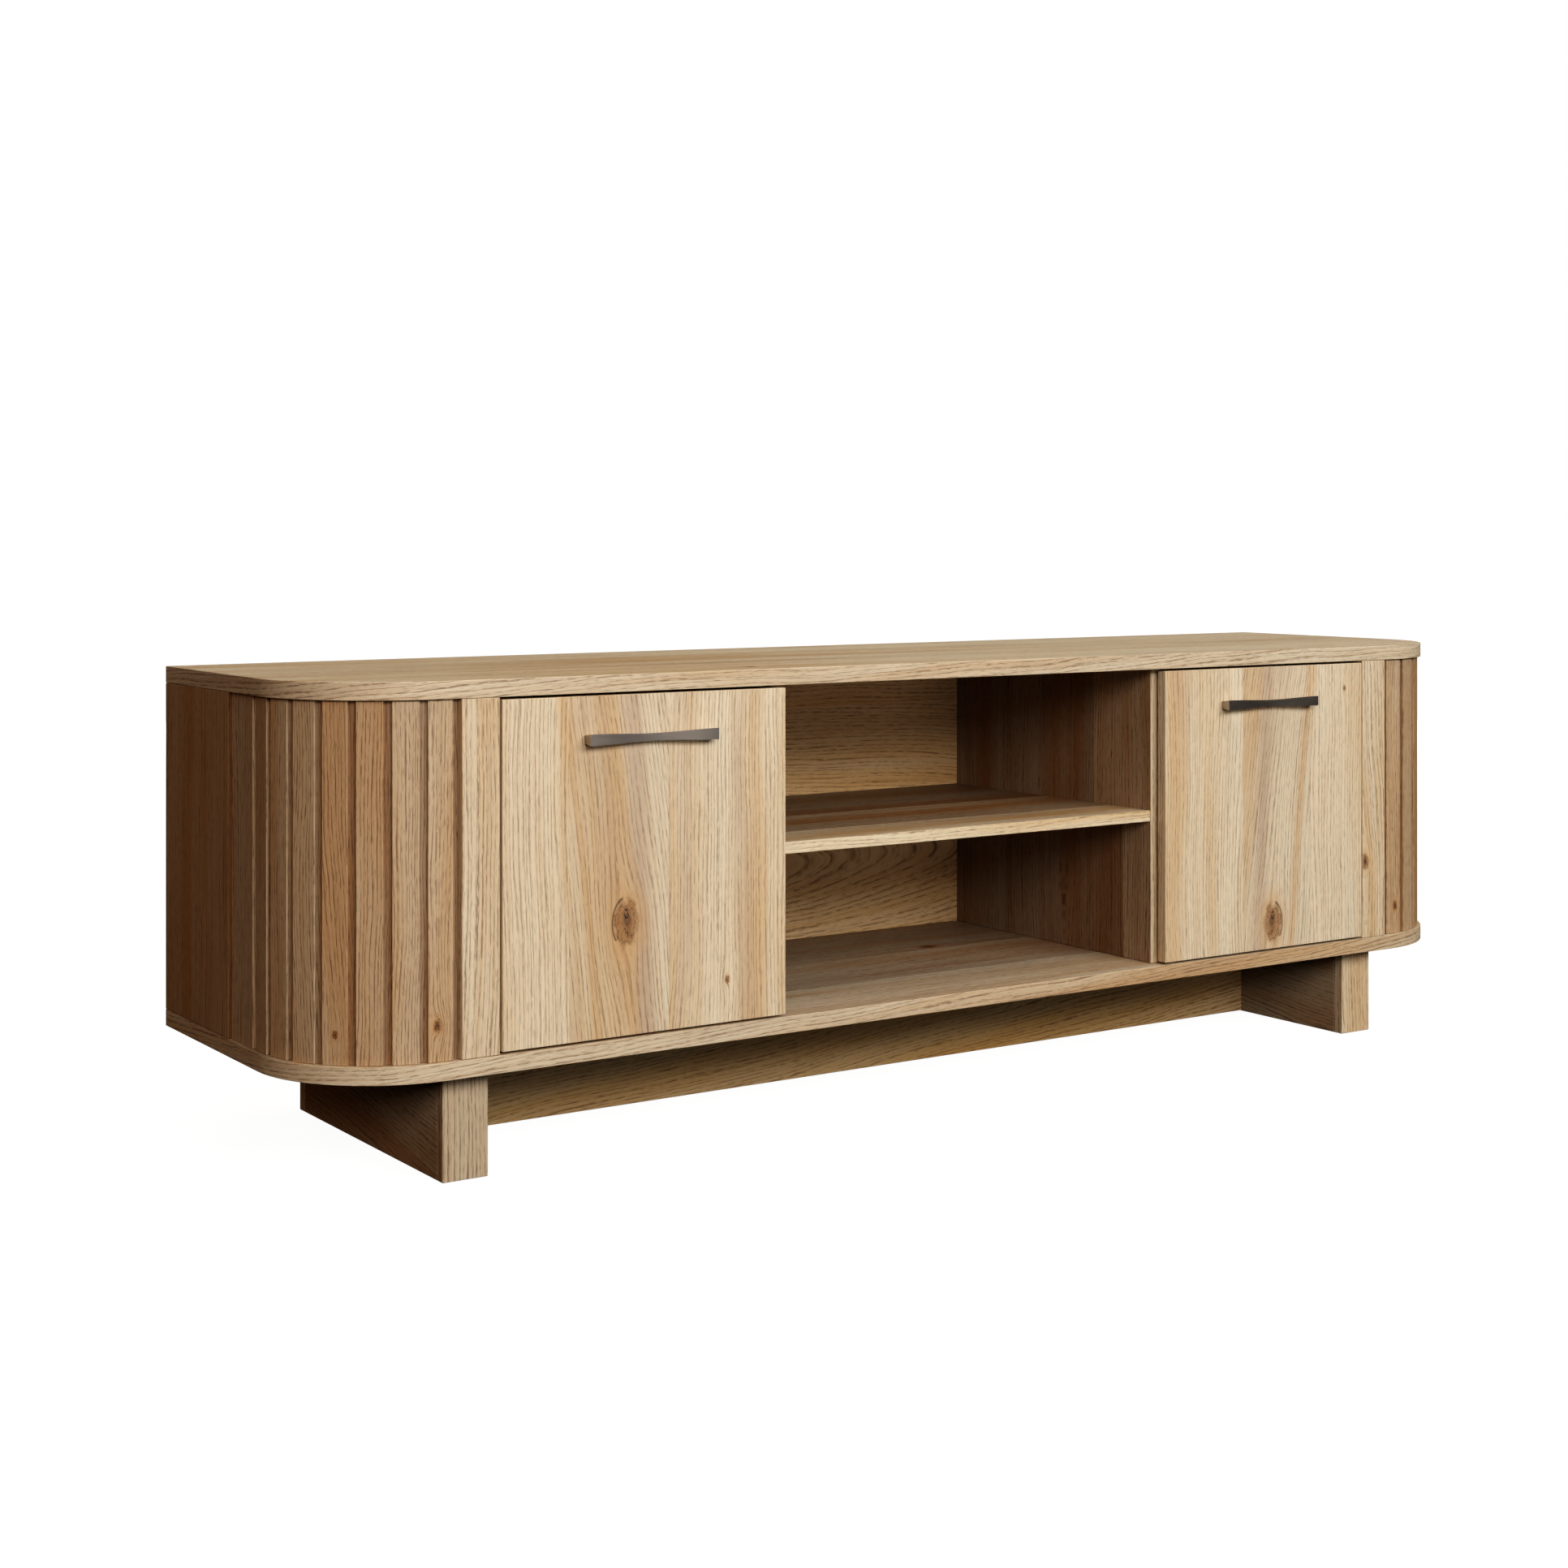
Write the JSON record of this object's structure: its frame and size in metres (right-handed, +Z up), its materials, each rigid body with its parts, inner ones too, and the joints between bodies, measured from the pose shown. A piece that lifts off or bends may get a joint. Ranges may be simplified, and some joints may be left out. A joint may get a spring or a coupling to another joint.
{
  "type": "media cabinet",
  "caption": "Low media cabinet with a hinged door each side of an open shelved bay, fluted round front corners and panel legs joined by a rail.",
  "frame": {"origin": "on the floor, in the middle of the overall width and overall depth, handles included", "axes": "+Z up, -Y the front with the doors, +X to the right seen from the front"},
  "size_m": [1.96, 0.513, 0.605],
  "materials": {
    "oak_decor": "matt textured light oak, knots, dark pores",
    "brushed_nickel": "dark brushed nickel",
    "hinge_steel": "satin nickel-plated pressed steel",
    "zinc_steel": "bright zinc-plated"
  },
  "bodies": {
    "cabinet": {"back_panel": "oak_decor", "base_rail": "oak_decor", "bottom_panel": "oak_decor", "centre_shelf": "oak_decor", "left_cupboard_shelf": "oak_decor", "left_divider": "oak_decor", "left_fluted_corner": "oak_decor", "left_front_stile": "oak_decor", "left_hinge_partition": "oak_decor", "left_leg_back_cap": "oak_decor", "left_leg_front_cap": "oak_decor", "left_leg_inner_board": "oak_decor", "left_leg_outer_board": "oak_decor", "left_lower_hinge_arm": "hinge_steel", "left_lower_hinge_plate": "hinge_steel", "left_shelf_pin_inner_back": "zinc_steel", "left_shelf_pin_inner_front": "zinc_steel", "left_shelf_pin_outer_back": "zinc_steel", "left_shelf_pin_outer_front": "zinc_steel", "left_side_panel": "oak_decor", "left_upper_hinge_arm": "hinge_steel", "left_upper_hinge_plate": "hinge_steel", "right_cupboard_shelf": "oak_decor", "right_divider": "oak_decor", "right_fluted_corner": "oak_decor", "right_front_stile": "oak_decor", "right_hinge_partition": "oak_decor", "right_leg_back_cap": "oak_decor", "right_leg_front_cap": "oak_decor", "right_leg_inner_board": "oak_decor", "right_leg_outer_board": "oak_decor", "right_lower_hinge_arm": "hinge_steel", "right_lower_hinge_plate": "hinge_steel", "right_shelf_pin_inner_back": "zinc_steel", "right_shelf_pin_inner_front": "zinc_steel", "right_shelf_pin_outer_back": "zinc_steel", "right_shelf_pin_outer_front": "zinc_steel", "right_side_panel": "oak_decor", "right_upper_hinge_arm": "hinge_steel", "right_upper_hinge_plate": "hinge_steel", "top_panel": "oak_decor"},
    "left_door": {"left_door": "oak_decor", "left_handle": "brushed_nickel", "left_handle_screw_1": "zinc_steel", "left_handle_screw_2": "zinc_steel", "left_lower_hinge_cup": "hinge_steel", "left_upper_hinge_cup": "hinge_steel"},
    "right_door": {"right_door": "oak_decor", "right_handle": "brushed_nickel", "right_handle_screw_1": "zinc_steel", "right_handle_screw_2": "zinc_steel", "right_lower_hinge_cup": "hinge_steel", "right_upper_hinge_cup": "hinge_steel"},
    "left_hinge_links": {"left_lower_hinge_link": "hinge_steel", "left_upper_hinge_link": "hinge_steel"},
    "right_hinge_links": {"right_lower_hinge_link": "hinge_steel", "right_upper_hinge_link": "hinge_steel"}
  },
  "joints": [
    {"name": "left_door_swing", "type": "hinge", "parent": "cabinet", "child": "left_door", "pos_m": [-0.7352, -0.2365, 0.3685], "axis": [0, 0, -1], "range_deg": [0, 95]},
    {"name": "left_hinge_link_swing", "type": "hinge", "parent": "cabinet", "child": "left_hinge_links", "pos_m": [-0.6989, -0.2169, 0.3685], "axis": [0, 0, 1], "range_deg": [0, 22]},
    {"name": "right_door_swing", "type": "hinge", "parent": "cabinet", "child": "right_door", "pos_m": [0.7352, -0.2365, 0.3685], "axis": [0, 0, 1], "range_deg": [0, 95]},
    {"name": "right_hinge_link_swing", "type": "hinge", "parent": "cabinet", "child": "right_hinge_links", "pos_m": [0.6989, -0.2169, 0.3685], "axis": [0, 0, -1], "range_deg": [0, 22]}
  ],
  "couplings": [
    {"joint": "left_hinge_link_swing", "follows": "left_door_swing", "ratio": 0.225},
    {"joint": "right_hinge_link_swing", "follows": "right_door_swing", "ratio": 0.225}
  ]
}
